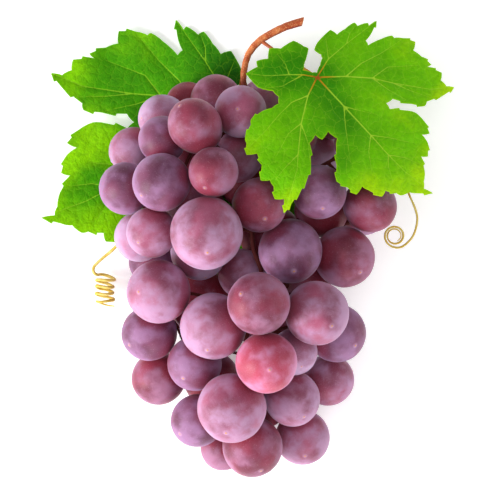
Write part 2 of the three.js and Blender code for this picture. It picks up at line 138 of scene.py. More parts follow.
bpy.ops.mesh.primitive_cone_add(
    vertices=16,
    radius1=CUSHION_WIDTH / 2,
    radius2=SIDE_STALK_WIDTH / 2,
    depth=CUSHION_HEIGHT,
    location=(0, 0, CUSHION_HEIGHT / 2),
)
cushion = bpy.context.object
bpy.ops.object.transform_apply(location=True, rotation=True, scale=True)
bpy.ops.object.mode_set(mode="EDIT")
select_where(cushion, "FACE", lambda place: place.z < CLOSE)
bpy.ops.mesh.extrude_region_move(TRANSFORM_OT_translate={"value": (0, 0, -INTO_BERRY)})
bpy.ops.transform.resize(value=(0.8, 0.8, 1))
bpy.ops.object.mode_set(mode="OBJECT")

cushions = []
for grape in grape_nodes:
    middle, radius, way = grape_seat(grape)
    placed = new_piece(f"cushion_{grape}", cushion.data.copy())
    foot = middle + way * (radius - INTO_BERRY)
    placed.data.transform(Matrix.LocRotScale(foot, way.to_track_quat("Z", "Y"), None))
    cushions.append(placed)
bpy.data.objects.remove(cushion)

choose(stem)
for placed in cushions:
    placed.select_set(True)
bpy.ops.object.join()

finish_with(stem, "REMESH", mode="VOXEL", voxel_size=STEM_VOXEL)
finish_with(stem, "SMOOTH", factor=0.5, iterations=4)
finish_with(stem, "DISPLACE", texture=clouds("bark_lumps", 1.6 * MM), strength=BARK_SWELL,
            mid_level=0.35, texture_coords="LOCAL")

# The secateurs leave a slanting cut with paler wood and a pith in it.
top_corners = stem_corners[stem_corners[:, 1] > stem_corners[:, 1].max() - PEDUNCLE_TOP_BAND]
cut_end = Vector(max(top_corners, key=lambda corner: corner @ np.array(PEDUNCLE_WAY)))
cut_middle = Vector(stem_corners[np.linalg.norm(stem_corners - np.array(cut_end), axis=1)
                                 < CUT_HALF_WIDTH].mean(axis=0))
choose(stem)
bpy.ops.object.mode_set(mode="EDIT")
select_where(stem, "FACE", lambda place: (place - cut_end).length < CUT_REACH)
bpy.ops.mesh.bisect(plane_co=cut_middle - PEDUNCLE_WAY * CUT_BACK, plane_no=CUT_SLANT,
                    use_fill=True, clear_outer=True)


def node(tree, kind, inputs=(), **settings):
    """Adds a shader node. An input takes a value, or another node's output as a link."""
    made = tree.nodes.new(kind)
    for setting, value in settings.items():
        setattr(made, setting, value)
    for socket, value in dict(inputs).items():
        if isinstance(value, bpy.types.NodeSocket):
            tree.links.new(value, made.inputs[socket])
        else:
            made.inputs[socket].default_value = value
    return made


def colour(red, green, blue):
    """A display colour, 0 to 255, as the shader's linear colour."""
    return tuple((part / 255) ** 2.2 for part in (red, green, blue)) + (1,)


def pattern(tree, place, size, detail=2.0, roughness=0.5, distortion=0.0):
    """Soft noise whose patches are about size across."""
    return node(tree, "ShaderNodeTexNoise", {
        "Vector": place, "Scale": 1 / size, "Detail": detail, "Roughness": roughness,
        "Distortion": distortion,
    }).outputs["Fac"]


def fade(tree, value, start, end, low=0.0, high=1.0):
    """Goes smoothly from low to high as the value goes from start to end."""
    return node(tree, "ShaderNodeMapRange", {
        "Value": value, "From Min": start, "From Max": end, "To Min": low, "To Max": high,
    }, interpolation_type="SMOOTHSTEP").outputs["Result"]


def mix(tree, share, first, second):
    """The first colour where the share is 0, and the second where it is 1."""
    return node(tree, "ShaderNodeMix", {0: share, 6: first, 7: second}, data_type="RGBA").outputs[2]


def maths(tree, operation, first, second):
    return node(tree, "ShaderNodeMath", {0: first, 1: second}, operation=operation).outputs[0]


def new_finish(name, **constants):
    """A material with its shader's constant values set on the shader's own sockets."""
    finish = bpy.data.materials.new(name)
    finish.use_nodes = True
    shader = finish.node_tree.nodes["Principled BSDF"]
    for socket, value in constants.items():
        shader.inputs[socket.replace("_", " ")].default_value = value
    return finish, finish.node_tree, shader


def surface(tree, shader, base, roughness, height, depth):
    """Links the colour, the roughness and a bump of the given depth in metres."""
    tree.links.new(base, shader.inputs["Base Color"])
    tree.links.new(roughness, shader.inputs["Roughness"])
    bump = node(tree, "ShaderNodeBump", {"Height": height, "Strength": 1.0, "Distance": depth})
    tree.links.new(bump.outputs["Normal"], shader.inputs["Normal"])


def bark_finish():
    finish, tree, shader = new_finish("bark", Specular_IOR_Level=0.25)
    place = node(tree, "ShaderNodeTexCoord").outputs["Object"]
    blotches = pattern(tree, place, 5 * MM, 3)
    grain = pattern(tree, place, 0.5 * MM, 3, 0.7)
    brown = mix(tree, fade(tree, blotches, 0.35, 0.65), colour(170, 72, 38), colour(208, 116, 68))
    speckled = mix(tree, fade(tree, grain, 0.52, 0.64, 0, 0.8), brown, colour(228, 168, 112))
    dotted = mix(tree, fade(tree, grain, 0.44, 0.3, 0, 0.6), speckled, colour(124, 46, 50))
    # Darker maroon on the side of the bark that faces -Y, the front.
    facing = node(tree, "ShaderNodeNewGeometry").outputs["Normal"]
    facing_y = node(tree, "ShaderNodeSeparateXYZ", {"Vector": facing}).outputs["Y"]
    bark_and_painted_shade = mix(tree, fade(tree, facing_y, -0.45, -0.98, 0, 0.5), dotted, colour(112, 36, 58))
    # Painted shade: deep inside the bunch the stalks are painted a dark wine colour, so that they sink
    # into the shade between the berries.
    along = node(tree, "ShaderNodeSeparateXYZ", {"Vector": place}).outputs["Y"]
    painted_inner_shade = fade(tree, along, PEDUNCLE_FOOT, PEDUNCLE_FOOT - 8 * MM, 0, 0.95)
    bark_and_painted_shade = mix(tree, painted_inner_shade, bark_and_painted_shade, colour(78, 22, 28))
    surface(tree, shader, bark_and_painted_shade, fade(tree, grain, 0.3, 0.7, 0.6, 0.8), grain, 0.25 * MM)
    return finish


def cut_wood_finish():
    finish, tree, shader = new_finish("cut_wood", Specular_IOR_Level=0.2)
    place = node(tree, "ShaderNodeTexCoord").outputs["Object"]
    fibres = pattern(tree, place, 0.35 * MM, 4, 0.7)
    wood = mix(tree, fade(tree, fibres, 0.35, 0.65), colour(176, 122, 72), colour(224, 186, 134))
    surface(tree, shader, wood, fade(tree, fibres, 0.3, 0.7, 0.7, 0.85), fibres, 0.15 * MM)
    return finish


stem.data.materials.append(bark_finish())
stem.data.materials.append(cut_wood_finish())
bpy.ops.mesh.inset(thickness=0.3 * MM)
stem.active_material_index = 1
bpy.ops.object.material_slot_assign()
bpy.ops.mesh.inset(thickness=0.7 * MM, depth=-0.15 * MM)
bpy.ops.object.mode_set(mode="OBJECT")
bpy.ops.object.shade_smooth_by_angle(angle=math.radians(50))
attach(stem, "root")
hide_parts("stem")


# ---------------------------------------------------------------- the berries
#
# Large red table grapes with a firm, finely speckled skin under a dusty bloom, which is rubbed
# off in places. Each hangs on its side stalk from a shallow dimple, has the small tan scar of
# its blossom at the other end, and is pressed a little flat where it touches the next one.

BERRY_PLUMPNESS = 1.025
BERRY_UNEVENNESS = 0.035
PRESSED_GAP = 0.03 * MM
PRESS_REACH = 1.15
FAR_AWAY = 1e9

# On a berry of radius 1: the stalk's dimple, as the height where each step starts and its drop,
# and the scar, which is a shallow pit with a small knob in it.
DIMPLE_STEPS = ((0.9, 0.012), (0.96, 0.025), (0.99, 0.03))
SCAR_EDGE = -0.985
PIT_INSET = 0.115
PIT_DEPTH = 0.008
KNOB_INSET = 0.018
KNOB_HEIGHT = 0.02

bpy.ops.mesh.primitive_uv_sphere_add(segments=36, ring_count=18, radius=1)
first_berry = bpy.context.object
bpy.ops.object.mode_set(mode="EDIT")
for step_height, drop in DIMPLE_STEPS:
    select_where(first_berry, "VERT", lambda place: place.z > step_height)
    bpy.ops.transform.translate(value=(0, 0, -drop))
select_where(first_berry, "FACE", lambda place: place.z < SCAR_EDGE)
bpy.ops.mesh.inset(thickness=PIT_INSET)
bpy.ops.transform.translate(value=(0, 0, PIT_DEPTH))
bpy.ops.mesh.inset(thickness=KNOB_INSET)
bpy.ops.transform.translate(value=(0, 0, -KNOB_HEIGHT))
bpy.ops.object.mode_set(mode="OBJECT")
finish_with(first_berry, "SUBSURF", levels=1, render_levels=1)
own_place = first_berry.data.attributes.new("own_place", "FLOAT_VECTOR", "POINT")
own_place.data.foreach_set(
    "vector", np.array([corner.co[:] for corner in first_berry.data.vertices]).ravel())


def skin_finish(name, deep, glow, bloom, cover):
    """Grape skin: deep where it is dark, glow where light comes through, cover is the bloom's."""
    finish, tree, shader = new_finish(
        name, Specular_IOR_Level=0.2, Subsurface_Weight=0.35, Subsurface_Radius=(1.0, 0.26, 0.26),
        Subsurface_Scale=4.0 * MM, Sheen_Weight=0.22, Sheen_Roughness=0.35,
        Sheen_Tint=colour(216, 204, 232),
    )
    place = node(tree, "ShaderNodeTexCoord").outputs["Object"]
    own = node(tree, "ShaderNodeAttribute", attribute_name="own_place").outputs["Vector"]

    patches = fade(tree, pattern(tree, place, 14 * MM, 2, 0.4), 0.36, 0.64)
    flesh_and_painted_shade = mix(tree, patches, colour(*deep), colour(*glow))
    stretched = node(tree, "ShaderNodeVectorMath", {0: own, 1: (4.5, 4.5, 0.8)},
                     operation="MULTIPLY").outputs[0]
    streaks = pattern(tree, node(tree, "ShaderNodeVectorMath", {
        0: stretched, 1: node(tree, "ShaderNodeVectorMath", {0: place, "Scale": 60.0},
                              operation="SCALE").outputs[0],
    }, operation="ADD").outputs[0], 1.0, 3, 0.5)
    flesh_and_painted_shade = mix(tree, fade(tree, streaks, 0.45, 0.75, 0, 0.35), flesh_and_painted_shade, colour(*deep))

    film_and_painted_light = pattern(tree, place, 11 * MM, 2, 0.45)
    smears = pattern(tree, place, 3 * MM, 5, 0.62, 0.5)
    film_and_painted_light = maths(tree, "ADD", maths(tree, "MULTIPLY", film_and_painted_light, 0.76), maths(tree, "MULTIPLY", smears, 0.24))
    # The bloom is a little thinner where the skin faces up and thicker on the sides: partly bloom rubbed
    # off on top, and partly painted light, a pale painted sheen on the berries' rims.
    facing = node(tree, "ShaderNodeSeparateXYZ", {
        "Vector": node(tree, "ShaderNodeNewGeometry").outputs["Normal"]}).outputs["Z"]
    film_and_painted_light = maths(tree, "ADD", film_and_painted_light, fade(tree, facing, 0.9, 0.25, -0.04, 0.05))
    # Painted shade: near the next berry the bloom is made thinner and the skin is painted a deep red (134,
    # 16, 30), standing for the shade between berries.
    next_gap = node(tree, "ShaderNodeAttribute", attribute_name="next_gap").outputs["Fac"]
    painted_contact_shade = fade(tree, next_gap, 6.5, 0.4)
    film_and_painted_light = maths(tree, "ADD", film_and_painted_light, maths(tree, "MULTIPLY", painted_contact_shade, -0.2))
    dust_and_painted_light = fade(tree, film_and_painted_light, 0.57 - 0.3 * cover, 0.85 - 0.3 * cover, 0.22 * cover, 0.95)
    flesh_and_painted_shade = mix(tree, maths(tree, "MULTIPLY", painted_contact_shade, 0.7), flesh_and_painted_shade, colour(134, 16, 30))
    skin = mix(tree, dust_and_painted_light, flesh_and_painted_shade, colour(*bloom))

    specks = node(tree, "ShaderNodeTexVoronoi", {"Vector": place, "Scale": 1 / (1.1 * MM)})
    speck = fade(tree, specks.outputs["Distance"], 0.2, 0.08, 0, 0.16)
    skin = mix(tree, speck, skin, colour(222, 188, 200))
    grain = pattern(tree, place, 0.45 * MM, 2, 0.6)
    skin = mix(tree, fade(tree, grain, 0.35, 0.65, 0, 0.1), skin, colour(*bloom))

    from_scar = node(tree, "ShaderNodeVectorMath", {0: own, 1: (0, 0, -1)}, operation="DISTANCE")
    from_scar = from_scar.outputs["Value"]
    skin = mix(tree, fade(tree, from_scar, 0.13, 0.05, 0, 0.3), skin, colour(214, 172, 200))
    skin = mix(tree, fade(tree, from_scar, 0.036, 0.022), skin, colour(204, 146, 78))
    from_stalk = node(tree, "ShaderNodeVectorMath", {0: own, 1: (0, 0, 1)}, operation="DISTANCE")
    from_stalk = from_stalk.outputs["Value"]
    skin = mix(tree, fade(tree, from_stalk, 0.34, 0.14, 0, 0.6), skin, colour(120, 74, 52))

    relief = maths(tree, "ADD", maths(tree, "MULTIPLY", grain, 0.3), smears)
    surface(tree, shader, skin, fade(tree, dust_and_painted_light, 0.1, 0.8, 0.42, 0.66), relief, 0.1 * MM)
    return finish


skins = {
    "lilac": skin_finish("skin_lilac", (128, 58, 84), (164, 92, 124), (186, 154, 186), 0.9),
    "mauve": skin_finish("skin_mauve", (118, 42, 60), (160, 70, 96), (176, 136, 168), 0.74),
    "wine": skin_finish("skin_wine", (98, 26, 40), (142, 50, 68), (158, 110, 138), 0.58),
    "plum": skin_finish("skin_plum", (88, 36, 54), (120, 60, 82), (152, 112, 148), 0.74),
    "pink": skin_finish("skin_pink", (150, 40, 54), (176, 56, 74), (200, 134, 170), 0.56),
    "shade": skin_finish("skin_shade", (118, 26, 38), (150, 50, 64), (160, 112, 138), 0.42),
}

# The skin of each berry, in the order of their numbers.
tones = """
    wine  mauve mauve shade lilac mauve plum  wine  shade shade
    mauve shade lilac shade wine  plum  plum  wine  plum  wine
    shade wine  mauve mauve lilac lilac plum  wine  mauve shade
    plum  shade mauve mauve wine  mauve mauve wine  plum  plum
    shade wine  pink  lilac plum  wine  mauve mauve mauve plum
    mauve wine  wine  shade wine
""".split()

berry_bumps = clouds("berry_bumps", 9 * MM, 1)
seats = [grape_seat(grape) for grape in grape_nodes]
dice = random.Random(7)
LONG_BERRIES = {"grape_08": 1.1}      # one berry near the top is longer than the rest


def press(mesh, middle, radius):
    """Flattens a berry against the next ones and the table, and notes how near the next one is."""
    places = np.array([corner.co[:] for corner in mesh.vertices])
    nearest = np.full(len(places), FAR_AWAY)
    for other, other_radius, _ in seats:
        gap = other - middle
        if 0 < gap.length < PRESS_REACH * (radius + other_radius):
            way = np.array(gap.normalized())
            reach = gap.length * radius / (radius + other_radius) - PRESSED_GAP
            beyond = np.maximum((places - np.array(middle)) @ way - reach, 0)
            places -= beyond[:, None] * way
        if gap.length > 0:
            away = np.linalg.norm(places - np.array(other), axis=1) - other_radius
            nearest = np.minimum(nearest, away)
    places[:, 2] = np.maximum(places[:, 2], 0)
    next_gap = mesh.attributes.new("next_gap", "FLOAT", "POINT")
    next_gap.data.foreach_set("value", nearest / MM)
    mesh.vertices.foreach_set("co", places.ravel())


for grape, tone, (middle, radius, way) in zip(grape_nodes, tones, seats):
    berry = new_piece(f"berry_{grape[-2:]}", first_berry.data.copy())
    across = radius * BERRY_PLUMPNESS * dice.uniform(0.985, 1.0)
    along = radius * BERRY_PLUMPNESS * dice.uniform(0.99, 1.03) * LONG_BERRIES.get(grape, 1)
    roll = Matrix.Rotation(dice.uniform(0, math.tau), 3, "Z").to_quaternion()
    turn = way.to_track_quat("Z", "Y") @ roll
    berry.data.transform(Matrix.LocRotScale(middle, turn, Vector((across, across, along))))
    finish_with(berry, "DISPLACE", texture=berry_bumps, strength=BERRY_UNEVENNESS * radius,
                mid_level=0.5, texture_coords="LOCAL")
    press(berry.data, middle, radius)
    berry.data.materials.clear()
    berry.data.materials.append(skins[tone])
    choose(berry)
    bpy.ops.object.shade_smooth()
    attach(berry, "root")
    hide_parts(grape)
bpy.data.objects.remove(first_berry)


# ---------------------------------------------------------------- the right leaf
#
# A fresh five-lobed vine leaf that grows from the peduncle and drapes over the bunch's right
# shoulder. The blade is thin and satin green with toothed edges. Its veins are sunk into the
# upper side and stand out below, and they are orange where they meet the stalk.

# The corners of the blade's edge, from the stalk around to the stalk again, in hundredths of the
# middle vein's length, across it and along it.
LEAF_OUTLINE = [
    (2, -2), (7, -4), (11, -6), (12, -8), (11, -13), (16, -15), (27, -15), (28, -10), (34, -9),
    (41, -8), (41, -5), (47, -2), (46, 0), (52, 1), (45, 4), (38, 5), (37, 8),
    (46, 11), (52, 14), (52, 16), (56, 20), (60, 27), (55, 30), (56, 36), (57, 44), (54, 43),
    (58, 52), (54, 55), (54, 60), (57, 64), (50, 63), (38, 58), (35, 59), (30, 52), (24, 42),
    (19, 41), (18, 45),
    (25, 53), (28, 58), (28, 65), (25, 73), (21, 70), (20, 76), (14, 82), (11, 79), (6, 87),
    (1, 91), (-2, 94), (0, 100), (-7, 93), (-10, 89), (-15, 87), (-16, 84), (-20, 78), (-24, 79),
    (-27, 70), (-28, 66), (-34, 67), (-35, 60), (-37, 53), (-30, 46), (-22, 38), (-18, 35),
    (-19, 28), (-25, 29), (-26, 24), (-32, 25), (-41, 35), (-50, 40), (-66, 43), (-73, 44),
    (-67, 38), (-71, 34), (-66, 28), (-65, 24), (-69, 20), (-62, 14), (-59, 7), (-64, 3), (-59, -2),
    (-57, -5), (-49, -8),
    (-47, -10), (-39, -9), (-33, -6), (-28, -5), (-25, -8), (-25, -13), (-30, -21), (-29, -32),
    (-21, -30), (-19, -33), (-13, -29), (-8, -33), (-3, -28), (6, -26), (8, -19), (9, -16),
    (0, -11), (-3, -9), (0, -4),
]

# Each vein is its half width at its start and end, in millimetres on a leaf as long as
# VEIN_WIDTHS_LENGTH, then its points in hundredths of the middle vein's length, across and along it.
LEAF_VEINS = [
    (0.40, 0.12, [(0, 0), (-1, 24), (-2, 48), (-3, 64), (-3, 78), (0, 100)]),
    (0.36, 0.12, [(0, 0), (-12, 4), (-27, 13), (-42, 25), (-49, 31), (-73, 44)]),
    (0.36, 0.12, [(0, 0), (13, 12), (24, 24), (31, 35), (45, 54), (57, 64)]),
    (0.32, 0.12, [(0, 0), (-5, -7), (-11, -13), (-21, -22), (-29, -32)]),
    (0.32, 0.12, [(0, 0), (13, -3), (28, -2), (52, 1)]),
    (0.26, 0.10, [(-1, 24), (3, 31), (8, 39)]),
    (0.28, 0.10, [(-1, 24), (-9, 33), (-23, 51)]),
    (0.26, 0.10, [(-2, 48), (5, 57), (12, 68)]),
    (0.26, 0.10, [(-2, 48), (-10, 54), (-19, 66)]),
    (0.22, 0.10, [(-3, 64), (-8, 69), (-13, 78)]),
    (0.22, 0.10, [(-3, 64), (3, 72), (7, 82)]),
    (0.28, 0.10, [(-12, 4), (-22, 0), (-33, 0), (-45, 1), (-60, 1)]),
    (0.26, 0.10, [(-27, 13), (-37, 12), (-54, 17)]),
    (0.24, 0.10, [(-27, 13), (-33, 25), (-40, 33)]),
    (0.22, 0.10, [(-42, 25), (-52, 25), (-63, 26)]),
    (0.28, 0.10, [(13, 12), (26, 13), (39, 17), (54, 20)]),
    (0.26, 0.10, [(24, 24), (36, 26), (51, 39)]),
    (0.24, 0.10, [(24, 24), (26, 36), (30, 50)]),
    (0.22, 0.10, [(31, 35), (36, 47), (42, 59)]),
    (0.24, 0.10, [(-11, -13), (-8, -19), (-7, -27)]),
    (0.24, 0.10, [(-5, -7), (-19, -11), (-28, -18)]),
    (0.22, 0.10, [(13, -3), (18, -9), (22, -14)]),
    (0.22, 0.10, [(28, -2), (34, -5), (40, -6)]),
]

BLADE_THICKNESS = 0.75 * MM
BLADE_SHARE = 0.4
STALK_RADIUS = 0.75 * MM
STALK_RING = 1.45 * MM
TOOTH_HEIGHT = 0.013
TOOTH_SPACING = 0.07
TOOTH_POINTS = ((0.55, 1), (0.6, 0.1))
SWELL_POINTS = ((0.3, 0.2), (0.7, 0.2))
BAY_DEPTH = 0.4
VEIN_WIDTHS_LENGTH = 70 * MM

# The first three are shares of a vein's half width.
GROOVE_DEPTH = 0.5
GROOVE_REACH = 1.2
RIDGE_REACH = 1.4
PUFF_HEIGHT = 0.5 * MM
PUFF_REACH = 2.5 * MM
WAVE_SPACING = 13 * MM
RIPPLE_HEIGHT = 0.12 * MM
RIPPLE_SPACING = 4 * MM


def leaf_place(leaf, across, along):
    """Where a point of the leaf's own outline lies, seen from above."""
    onward = along * leaf["length"] / 100
    sideways = across * leaf["length"] / 100 * leaf["side"]
    turn = math.radians(leaf["heading"])
    return (leaf["joint"][0] + math.cos(turn) * onward - math.sin(turn) * sideways,
            leaf["joint"][1] + math.sin(turn) * onward + math.cos(turn) * sideways)


def nearest_on_line(places, start, end):
    """For each place, the nearest point of a straight line, and how far along it that is."""
    run = end - start
    share = np.clip((places - start) @ run / (run @ run), 0, 1)
    return start + share[:, None] * run, share


def toothed_edge(leaf):
    """The outline in place. Small teeth stand between the large ones, but not deep in a bay."""
    joint = Vector(leaf["joint"])
    corners = [Vector(leaf_place(leaf, *corner)) for corner in LEAF_OUTLINE]
    edge = []
    for corner, following in zip(corners, corners[1:] + corners[:1]):
        run = following - corner
        outward = Vector((run.y, -run.x)).normalized() * -leaf["side"] * TOOTH_HEIGHT * leaf["length"]
        nearer = min((corner - joint).length, (following - joint).length)
        count = 0
        if nearer > BAY_DEPTH * leaf["length"]:
            count = int(run.length / (TOOTH_SPACING * leaf["length"]))
        edge.append(corner)
        for tooth in range(count):
            for share, rise in TOOTH_POINTS:
                edge.append(corner + run * (tooth + share) / count + outward * rise)
        if count == 0:
            edge += [corner + run * share + outward * rise for share, rise in SWELL_POINTS]
    return edge


def cut_blade(leaf, cell):
    """The flat outline, cut along a fine square grid and along the middle of each vein."""
    edge = toothed_edge(leaf)
    bpy.ops.mesh.primitive_circle_add(vertices=len(edge), radius=leaf["length"], fill_type="NGON")
    blade = bpy.context.object
    blade.name = leaf["name"]
    for corner, place in zip(blade.data.vertices, edge):
        corner.co = (place.x, place.y, 0)
    bpy.ops.object.mode_set(mode="EDIT")
    for axis in (0, 1):
        low = min(place[axis] for place in edge)
        high = max(place[axis] for place in edge)
        way = (1, 0, 0) if axis == 0 else (0, 1, 0)
        for line in np.arange(low + cell / 2, high, cell):
            bpy.ops.mesh.select_all(action="SELECT")
            bpy.ops.mesh.bisect(plane_co=tuple(line * part for part in way), plane_no=way)
    for _, _, points in LEAF_VEINS:
        places = [Vector((*leaf_place(leaf, *point), 0)) for point in points]
        for start, end in zip(places, places[1:]):
            run = end - start
            across = Vector((run.y, -run.x, 0)).normalized()
            select_where(blade, "FACE", lambda place: (
                abs((place - start).dot(across)) < cell
                and -cell < (place - start).dot(run.normalized()) < run.length + cell))
            bpy.ops.mesh.bisect(plane_co=start, plane_no=across)
    bpy.ops.mesh.select_all(action="SELECT")
    bpy.ops.mesh.remove_doubles(threshold=0.03 * MM)
    bpy.ops.mesh.normals_make_consistent(inside=False)
    bpy.ops.object.mode_set(mode="OBJECT")
    if blade.data.polygons[0].normal.z < 0:
        blade.data.flip_normals()
    return blade, np.array([place[:] for place in edge])


def shape_blade(leaf, cell):
    """Sinks the veins into the blade, puffs it up between them, and lays it at its height."""
    blade, edge = cut_blade(leaf, cell)
    corners = np.array([corner.co[:2] for corner in blade.data.vertices])
    on_edge = np.full(len(corners), FAR_AWAY)
    for start, end in zip(edge, np.roll(edge, -1, axis=0)):
        nearest, _ = nearest_on_line(corners, start, end)
        on_edge = np.minimum(on_edge, np.linalg.norm(corners - nearest, axis=1))
    from_vein = np.full(len(corners), FAR_AWAY)
    vein_widths = np.full(len(corners), FAR_AWAY)
    for first_width, last_width, points in LEAF_VEINS:
        places = [np.array(leaf_place(leaf, *point)) for point in points]
        for step, (start, end) in enumerate(zip(places, places[1:])):
            nearest, share = nearest_on_line(corners, start, end)
            away = np.linalg.norm(corners - nearest, axis=1)
            width = first_width + (last_width - first_width) * (step + share) / (len(places) - 1)
            width *= MM * leaf["length"] / VEIN_WIDTHS_LENGTH
            closer = away < from_vein
            from_vein[closer] = away[closer]
            vein_widths[closer] = width[closer]

    groove = GROOVE_DEPTH * vein_widths * np.exp(-(from_vein / (GROOVE_REACH * vein_widths)) ** 2)
    puff = PUFF_HEIGHT * (1 - np.exp(-from_vein / PUFF_REACH))
    wave = np.array([noise.noise(Vector((x, y, 0)) / WAVE_SPACING) for x, y in corners])
    ripple = np.array([noise.noise(Vector((x, y, MM)) / RIPPLE_SPACING) for x, y in corners])
    lift = leaf["lift"] + leaf["wave"] * (0.5 + wave) + RIPPLE_HEIGHT * ripple + puff - groove
    height = leaf["height"](corners[:, 0], corners[:, 1]) + lift
    places = np.column_stack([corners, height])
    blade.data.vertices.foreach_set("co", places.ravel())

    joint = np.array(leaf["joint"])
    reach = np.linalg.norm(corners - joint, axis=1) / leaf["length"]
    for label, values in (("vein_gap", from_vein / vein_widths), ("vein_size", vein_widths / MM),
                          ("edge_gap", on_edge / MM), ("reach", reach)):
        attribute = blade.data.attributes.new(label, "FLOAT", "POINT")
        attribute.data.foreach_set("value", values)
    group = blade.vertex_groups.new(name="thickness")
    ridge = np.exp(-(from_vein / (RIDGE_REACH * vein_widths)) ** 2)
    for index, share in enumerate(BLADE_SHARE + (1 - BLADE_SHARE) * ridge):
        group.add([index], float(share), "REPLACE")
    finish_with(blade, "SOLIDIFY", thickness=BLADE_THICKNESS, offset=-1, vertex_group="thickness",
                use_even_offset=False, material_offset=1, material_offset_rim=0)
    return blade


MOST_RING_CORNERS = 9
ROOT_DEPTH = 0.5 * MM
BEND_LENGTH = 5 * MM


def ring_middles(name, foot, width):
    """Middles of a CAD shoot's rings, in turn, from the end that is nearest to the foot.

    The first ring is the corners that lie within the width of that end. The rings stop at the
    shoot's other end, or where a stalk runs into its blade and a ring would have more corners.
    """
    mesh = bmesh.new()
    mesh.from_mesh(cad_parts[name].data)
    bmesh.ops.remove_doubles(mesh, verts=mesh.verts, dist=SAME_PLACE)
    first = min(mesh.verts, key=lambda corner: (corner.co - foot).length)
    ring = {corner for corner in mesh.verts if (corner.co - first.co).length < width}
    seen = set(ring)
    middles = []
    while 2 < len(ring) <= MOST_RING_CORNERS:
        middles.append(sum((corner.co for corner in ring), Vector()) / len(ring))
        ring = {edge.other_vert(corner) for corner in ring for edge in corner.link_edges} - seen
        seen |= ring
    mesh.free()
    return middles


def stem_side(name):
    """The corner of a CAD shoot that is nearest to the stem, where the shoot grows from it."""
    corners = np.array([corner.co[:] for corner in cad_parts[name].data.vertices])
    gaps = [np.linalg.norm(stem_corners - corner, axis=1).min() for corner in corners]
    return Vector(corners[int(np.argmin(gaps))])


def rooted(route):
    """The route with its foot set into the bark of the stem beside it, in a gentle bend."""
    gaps = np.linalg.norm(stem_corners - np.array(route[0]), axis=1)
    bark = Vector(stem_corners[int(gaps.argmin())])
    foot = bark + (bark - route[0]).normalized() * ROOT_DEPTH
    onward = [place for place in route if (place - foot).length > BEND_LENGTH]
    return [foot, foot.lerp(onward[0], 0.4), *onward]


def round_shoot(name, middles, radius_at):
    """A round shoot through the middles. Its radius follows the share of the way along it."""
    curve = bpy.data.curves.new(name, "CURVE")
    curve.dimensions = "3D"
    curve.bevel_depth = 1
    curve.bevel_resolution = 3
    curve.resolution_u = 4
    curve.use_fill_caps = True
    spline = curve.splines.new("BEZIER")
    spline.bezier_points.add(len(middles) - 1)
    for step, (point, middle) in enumerate(zip(spline.bezier_points, middles)):
        point.co = middle
        point.handle_left_type = point.handle_right_type = "AUTO"
        point.radius = radius_at(step / (len(middles) - 1))
    shoot = new_piece(name, curve)
    choose(shoot)
    bpy.ops.object.convert(target="MESH")
    shoot = bpy.context.object
    bpy.ops.object.mode_set(mode="EDIT")
    bpy.ops.mesh.select_all(action="SELECT")
    bpy.ops.mesh.remove_doubles(threshold=0.01 * MM)
    bpy.ops.mesh.normals_make_consistent(inside=False)
    bpy.ops.object.mode_set(mode="OBJECT")
    bpy.ops.object.shade_smooth()
    return shoot


